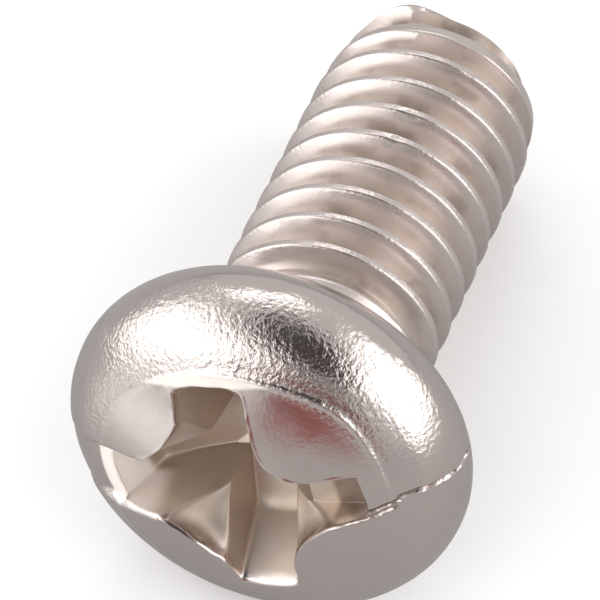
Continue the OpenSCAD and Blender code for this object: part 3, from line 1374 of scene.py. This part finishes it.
@dataclass(frozen=True)
class Nickel:
    """Bright nickel plate over steel, rough on the dome and dirty in the recess and the grooves.

    Attributes:
        bright: Colour of the clean plate.
        dirty: Colour of the plate in the recess and the grooves.
        pale: Near-white colour of the painted highlights on the long wing's end wall and the top lip.
        soil_and_shade: Colour of old dirt, also used for the painted shade in the squeezed wing.
        peel: Height of the orange peel on the dome, in millimetres.
        peel_grain: Scale and octaves of its noise.
        scratch: Height of the fine scratches, in millimetres.
        scratch_grain: Scale and octaves of their noise, and its scale along each axis.
        shank: Where the neck and the thread are.
        recess: Where the recess is.
        grooves: Where the grooves of the thread are, and a little of the end face.
        painted_wing_shade: Where shade is painted in the squeezed wing, on the far part of its floor and
            walls.
        wing_end_highlight: Where a highlight is painted on the end wall of the long wing.
        top_lip_highlight: Where a highlight is painted on the drawn-up lip at the top of the recess.
        pebbled: Where the orange peel is strong on the dome.
        crests: Where it is on the crests of the thread.
        polish: How much smoother the dome is than the recess and the shank.
        uneven: Unevenness of the height over which the orange peel begins.
        peel_from: That range of heights, with the strength below it and above it.
        browning: Unevenness of the browning.
        stains: Stains in the grooves.
        roughness: Roughness of the clean plate, with its unevenness.
        groove_brown: Browning of the grooves against that of the recess.
        films: What browning, the shank's dull plate, and the painted highlights and the seam's dirt take
            from the metal's shine.
        dulling: How much rougher the shank and the browned places are.
        rest: How the screw lies, which turns its axes back.
        form: Form of the head, which says where the dome is.
    """

    bright: Triple = (0.64, 0.565, 0.535)
    dirty: Triple = (0.58, 0.475, 0.38)
    pale: Triple = (0.92, 0.84, 0.78)
    soil_and_shade: Triple = (0.16, 0.11, 0.085)
    peel: float = 0.02
    peel_grain: tuple[float, float] = (12.5, 3.0)
    scratch: float = 0.0015
    scratch_grain: tuple[float, float, Triple] = (14.0, 2.0, (1.0, 1.0, 0.35))
    shank: tuple[Band, ...] = (Band("Height", (-0.25, -0.1, 1.0, 0.0)),)
    recess: tuple[Band, ...] = (
        Band("Under dome", (0.04, 0.3)), Band("Distance", (2.45, 2.6, 1.0, 0.0)), Band("Height", (0.1, 0.2)),
    )
    grooves: tuple[Band, ...] = (
        *shank, Band("Distance", (1.6, 1.85, 1.0, 0.0)), Band("Height", (-8.09, -8.0, 0.25, 1.0)),
    )
    # Painted shade: darkens the far part of the squeezed wing with the dirt colour.
    painted_wing_shade: tuple[Band, ...] = (*recess, Band("Across", (1.42, 1.56, 0.0, 0.7)))
    # Painted highlight: a near-white, matte patch on the long wing's end wall.
    wing_end_highlight: tuple[Band, ...] = (
        Band("Across", (-1.9, -1.5, 1.0, 0.0)), Band("Over cone", (0.3, 0.4)),
        Band("Up", (-0.6, -0.3)), Band("Up", (0.62, 0.8, 1.0, 0.0)),
        Band("Height", (1.2, 1.4)), Band("Distance", (2.56, 2.62, 1.0, 0.0)),
    )
    # Painted highlight: a near-white, matte band on the drawn-up top lip.
    top_lip_highlight: tuple[Band, ...] = (
        Band("Up", (2.26, 2.34)), Band("Distance", (2.52, 2.6, 1.0, 0.0)),
        Band("Height", (1.2, 1.4)), Band("Distance", (2.56, 2.62, 1.0, 0.0)),
    )
    pebbled: tuple[Band, ...] = (
        Band("Distance", (2.4, 2.65, 0.1, 1.0)), Band("Up", (0.1, 1.5, 0.35, 1.0)),
        Band("Across", (0.9, 2.2, 1.0, 0.8)),
    )
    crests: tuple[Band, ...] = (*shank, Band("Distance", (1.86, 1.93, 0.0, 0.45)))
    polish: tuple[Band, ...] = (Band("Distance", (2.4, 2.7, 0.0, -0.05)),)
    uneven: Patches = Patches(1.1, 2.0, (0.3, 0.7, -0.25, 0.25))
    peel_from: tuple[float, ...] = (0.6, 1.15, 0.06, 1.0)
    browning: Patches = Patches(1.4, 4.0, (0.25, 0.7, 0.35, 1.0))
    stains: Patches = Patches(1.3, 4.0, (0.48, 0.64, 0.0, 0.42))
    roughness: Patches = Patches(2.2, 4.0, (0.3, 0.7, 0.16, 0.26))
    groove_brown: float = 0.55
    films: Triple = (0.35, 0.14, 0.7)
    dulling: tuple[float, float] = (0.07, 0.2)
    rest: Rest = Rest()
    form: HeadForm = HeadForm()

    def axes_group(self) -> bpy.types.NodeTree:
        """Make the node group that gives measures on the screw's own axes in millimetres.

        Returns:
            The group. It puts out the place, its coordinates across the head, up the head and above
            the bearing face, and its distances from the axis, under the dome and over the cone at
            the bottom of the recess.
        """
        tree = bpy.data.node_groups.new("screw axes", "ShaderNodeTree")
        nodes = Nodes(tree)
        back = self.rest.matrix().inverted()
        turn = nodes.add("ShaderNodeMapping")
        turn.inputs["Location"].default_value = back.to_translation()
        turn.inputs["Rotation"].default_value = back.to_euler()
        turn.inputs["Scale"].default_value = (1.0 / MM, 1.0 / MM, 1.0 / MM)
        nodes.feed(nodes.add("ShaderNodeTexCoord").outputs["Object"], turn.inputs["Vector"])
        place = turn.outputs["Vector"]
        split = nodes.split(place)
        flat = nodes.vector("MULTIPLY", place, (1.0, 1.0, 0.0)).outputs["Vector"]
        distance = nodes.vector("LENGTH", flat).outputs["Value"]
        middle = (0.0, 0.0, self.form.height - self.form.dome)
        from_middle = nodes.vector("DISTANCE", place, middle).outputs["Value"]
        found = {
            "Place": place,
            "Across": split.outputs["X"],
            "Up": split.outputs["Y"],
            "Height": split.outputs["Z"],
            "Distance": distance,
            "Under dome": nodes.maths("SUBTRACT", self.form.dome, from_middle),
            "Over cone": nodes.maths("SUBTRACT", split.outputs["Z"], nodes.times(distance, Drive.cone)),
        }
        for name in found:
            kind = "NodeSocketVector" if name == "Place" else "NodeSocketFloat"
            tree.interface.new_socket(name, in_out="OUTPUT", socket_type=kind)
        out = nodes.add("NodeGroupOutput")
        for name, socket in found.items():
            nodes.feed(socket, out.inputs[name])
        return tree

    def relief(self, nodes: Nodes, axes: bpy.types.Node) -> bpy.types.NodeSocket:
        """Find the height of the orange peel and the scratches.

        Args:
            nodes: Node tree of the material.
            axes: Node of the axes group.

        Returns:
            The height in metres.
        """
        place = axes.outputs["Place"]
        patchy = nodes.maths("ADD", axes.outputs["Height"], nodes.patches(place, self.uneven))
        dome = nodes.times(nodes.mask(axes, self.pebbled), nodes.ramp(patchy, *self.peel_from))
        strong = nodes.maths("ADD", dome, nodes.mask(axes, self.crests))
        peel = nodes.times(nodes.grain(place, *self.peel_grain), nodes.times(strong, self.peel * MM))
        scratch = nodes.times(nodes.grain(place, *self.scratch_grain), self.scratch * MM)
        return nodes.maths("ADD", peel, scratch)

    def build(self) -> bpy.types.Material:
        """Make the material.

        Returns:
            The finished nickel.
        """
        material, nodes, shader = new_material("nickel_plated_steel")
        axes = nodes.add("ShaderNodeGroup", node_tree=self.axes_group())
        place = axes.outputs["Place"]
        recess, grooves, shank = (nodes.mask(axes, one) for one in (self.recess, self.grooves, self.shank))
        # Painted highlights on the long wing's end wall and the top lip.
        painted_highlight = nodes.maths("MAXIMUM", nodes.mask(axes, self.wing_end_highlight), nodes.mask(axes, self.top_lip_highlight))
        seam = nodes.add("ShaderNodeAttribute", attribute_name=SEAM_DIRT).outputs["Fac"]
        deep = nodes.maths("MAXIMUM", recess, nodes.times(grooves, self.groove_brown))
        grime = nodes.times(deep, nodes.patches(place, self.browning))

        brown_film, shank_film, highlight_and_seam_film = self.films
        film = nodes.maths("ADD", nodes.times(grime, brown_film), nodes.times(shank, shank_film))
        # The painted highlights and the seam's dirt take most of the metal's shine.
        film = nodes.maths("ADD", film, nodes.times(nodes.maths("MAXIMUM", painted_highlight, seam), highlight_and_seam_film))
        nodes.feed(nodes.maths("SUBTRACT", 1.0, film), shader.inputs["Metallic"])

        stained = nodes.times(nodes.patches(place, self.stains), grooves)
        # Painted shade in the squeezed wing, together with the stains in the grooves and the seam's dirt.
        dirt_and_shade = nodes.maths("MAXIMUM", nodes.maths("MAXIMUM", nodes.mask(axes, self.painted_wing_shade), stained), seam)
        # The painted highlights lay a near-white colour over the plate.
        colour = nodes.blend(painted_highlight, nodes.blend(grime, self.bright, self.dirty), self.pale)
        nodes.feed(nodes.blend(dirt_and_shade, colour, self.soil_and_shade), shader.inputs["Base Color"])

        rough = nodes.maths("ADD", nodes.patches(place, self.roughness), nodes.mask(axes, self.polish))
        for mask, more in zip((shank, deep), self.dulling):
            rough = nodes.maths("ADD", rough, nodes.times(mask, more))
        nodes.feed(rough, shader.inputs["Roughness"])

        bump = nodes.add("ShaderNodeBump")
        bump.inputs["Distance"].default_value = 1.0
        nodes.feed(self.relief(nodes, axes), bump.inputs["Height"])
        nodes.feed(bump.outputs["Normal"], shader.inputs["Normal"])
        return material


@dataclass(frozen=True)
class Screw:
    """The whole screw: head and shank, joined, plated and laid down.

    Attributes:
        head: The head's mesh.
        shank: The shank's mesh.
        rest: How the screw lies.
        smooth: Angle between two faces up to which their edge is shaded smooth.
    """

    head: HeadMesh = field(default_factory=HeadMesh)
    shank: Shank = Shank()
    rest: Rest = Rest()
    smooth: float = math.radians(38.0)

    def build(self) -> bpy.types.Object:
        """Make the screw in place of the CAD node.

        Returns:
            The finished screw.
        """
        head = self.head.build()
        shank = self.shank.build()
        bpy.ops.object.select_all(action="DESELECT")
        shank.select_set(True)
        head.select_set(True)
        bpy.context.view_layer.objects.active = head
        bpy.ops.object.join()
        bpy.ops.object.shade_smooth_by_angle(angle=self.smooth)
        head.name = "machine_screw"
        head.data.transform(self.rest.matrix())
        head.data.materials.clear()
        head.data.materials.append(Nickel().build())
        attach(head, "root")
        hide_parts("screw")
        LOG.info("screw: %d triangles", sum(len(face.vertices) - 2 for face in head.data.polygons))
        return head


@dataclass(frozen=True)
class Viewpoint:
    """The camera of the photograph: a long lens that looks down over the head.

    Attributes:
        place: Where the camera stands, in millimetres in the part's frame.
        elevation: Angle by which it looks down.
        heading: Direction in which it looks, about +Z from +X.
        lens: Focal length for a sensor 36 mm wide.
    """

    place: Vector = Vector((-38.94743, -13.25132, 66.07029))
    elevation: float = math.radians(57.21007)
    heading: float = math.radians(19.82564)
    lens: float = 270.0

    def build(self) -> bpy.types.Object:
        """Add the camera and make it the scene's own.

        Returns:
            The camera.
        """
        data = bpy.data.cameras.new("camera")
        data.lens = self.lens
        data.clip_start = 0.001
        data.clip_end = 10.0
        camera = bpy.data.objects.new("camera", data)
        bpy.context.scene.collection.objects.link(camera)
        camera.location = self.place * MM
        camera.rotation_euler = (math.pi / 2 - self.elevation, 0.0, self.heading - math.pi / 2)
        bpy.context.scene.camera = camera
        return camera


@dataclass(frozen=True)
class Facing:
    """Flat thing that stands round the screw and faces it.

    Attributes:
        name: Its name.
        azimuth: Direction in which it stands, in degrees about +Z from +X.
        elevation: Its height above the table, in degrees.
        distance: Its distance in millimetres.
        size: Its width and height in millimetres.
    """

    name: str
    azimuth: float
    elevation: float
    distance: float
    size: tuple[float, float]

    def stand(self, thing: bpy.types.Object) -> None:
        """Move an object to its place and turn it to the screw.

        Args:
            thing: The object.
        """
        heading, up = math.radians(self.azimuth), math.radians(self.elevation)
        way = Vector((math.cos(up) * math.cos(heading), math.cos(up) * math.sin(heading), math.sin(up)))
        thing.location = way * self.distance * MM
        thing.rotation_euler = way.to_track_quat("Z", "Y").to_euler()


@dataclass(frozen=True)
class Panel(Facing):
    """Soft lamp.

    Attributes:
        glow: Brightness of its face, where 1 is white.
    """

    glow: float

    def build(self) -> None:
        """Add the lamp."""
        data = bpy.data.lights.new(self.name, "AREA")
        data.shape = "RECTANGLE"
        data.size = self.size[0] * MM
        data.size_y = self.size[1] * MM
        data.energy = self.glow * math.pi * data.size * data.size_y
        lamp = bpy.data.objects.new(self.name, data)
        bpy.context.scene.collection.objects.link(lamp)
        self.stand(lamp)


@dataclass(frozen=True)
class Card(Facing):
    """Dark card with a soft edge, which shows only in the plate.

    Attributes:
        lower: Its colour at the lower edge.
        upper: Its colour at the upper edge.
        edge: Grey into which it fades at its edge.
        change: Places between which the lower colour gives way to the upper one.
        fade: Distances from its middle between which it fades.
    """

    lower: Triple
    upper: Triple
    edge: float
    change: tuple[float, float] = (-0.4, 0.4)
    fade: tuple[float, float] = (0.32, 0.5)

    def build(self) -> None:
        """Add the card."""
        card = add_plane(self.name, 1.0)
        card.scale = (self.size[0] * MM, self.size[1] * MM, 1.0)
        self.stand(card)
        card.visible_camera = False
        card.visible_shadow = False
        card.visible_diffuse = False
        material, nodes, shader = new_material(self.name)
        coords = nodes.add("ShaderNodeTexCoord").outputs["Object"]
        away = nodes.vector("LENGTH", coords).outputs["Value"]
        upwards = nodes.ramp(nodes.split(coords).outputs["Y"], *self.change)
        inside = nodes.blend(upwards, self.lower, self.upper)
        whole = nodes.blend(nodes.ramp(away, *self.fade), inside, (self.edge, self.edge, self.edge))
        nodes.feed(whole, shader.inputs["Emission Color"])
        shader.inputs["Emission Strength"].default_value = 1.0
        shader.inputs["Base Color"].default_value = (0.0, 0.0, 0.0, 1.0)
        card.data.materials.append(material)


@dataclass(frozen=True)
class Studio:
    """White table, pale surroundings and soft lamps.

    Attributes:
        panels: The lamps.
        cards: Dark things behind the camera that the plate mirrors.
        surround: Brightness of the surroundings on the table.
        mirrored: Brightness of the surroundings in the plate.
        table_mirrored: Brightness of the table in the plate, against its own.
        pool: Place on the table, in metres, round which the plate mirrors it bright.
        pool_edge: Distances from there between which it gets darker.
        cloudy: Faint patches of the table's white.
    """

    panels: tuple[Panel, ...] = (
        Panel("left panel", 120.0, 27.0, 90.0, (144.0, 86.0), 1.5),
        Panel("right panel", -84.0, 30.0, 90.0, (120.0, 84.0), 1.6),
        Panel("back panel", 22.0, 46.0, 90.0, (56.0, 20.0), 2.4),
    )
    cards: tuple[Card, ...] = (
        Card(
            "dark_card", azimuth=-155.0, elevation=71.0, distance=110.0, size=(100.0, 180.0),
            lower=(0.05, 0.035, 0.035), upper=(0.03, 0.028, 0.028), edge=0.66,
        ),
        Card(
            "red_card", azimuth=-168.5, elevation=12.0, distance=105.0, size=(84.0, 98.0),
            lower=(0.46, 0.15, 0.14), upper=(0.09, 0.05, 0.045), edge=0.6,
        ),
    )
    surround: float = 0.78
    mirrored: float = 0.7
    table_mirrored: float = 0.44
    pool: Triple = (-0.017, 0.011, 0.0)
    pool_edge: tuple[float, float] = (0.004, 0.013)
    cloudy: Patches = Patches(400.0, 2.0, (0.0, 1.0, 0.95, 0.98))

    def build(self) -> None:
        """Add the table, the surroundings and the lamps."""
        self.add_world()
        self.add_table()
        for panel in self.panels:
            panel.build()
        for card in self.cards:
            card.build()

    def add_world(self) -> None:
        """Make the surroundings pale, and grey in the plate."""
        world = bpy.data.worlds.new("studio")
        world.use_nodes = True
        nodes = Nodes(world.node_tree)
        background = world.node_tree.nodes["Background"]
        nodes.feed(nodes.in_plate(self.surround, self.mirrored), background.inputs["Strength"])
        background.inputs["Color"].default_value = (1.0, 1.0, 1.0, 1.0)
        bpy.context.scene.world = world

    def add_table(self) -> None:
        """Add the white table that the screw lies on."""
        table = add_plane("table", 2.0)
        material, nodes, shader = new_material("white table")
        shader.inputs["Roughness"].default_value = 0.8
        shader.inputs["Specular IOR Level"].default_value = 0.1
        coords = nodes.add("ShaderNodeTexCoord").outputs["Object"]
        shade = nodes.patches(coords, self.cloudy)
        away = nodes.vector("DISTANCE", coords, self.pool).outputs["Value"]
        mirrored = nodes.ramp(away, *self.pool_edge, 0.98, self.table_mirrored)
        nodes.feed(nodes.times(shade, nodes.in_plate(1.0, mirrored)), shader.inputs["Base Color"])
        table.data.materials.append(material)


def main() -> None:
    """Build the screw, the studio and the camera."""
    logging.basicConfig(level=logging.INFO, format="%(name)s: %(message)s")
    bpy.context.scene.view_settings.view_transform = "Standard"
    Screw().build()
    Studio().build()
    Viewpoint().build()


if __name__ == "__main__":
    main()
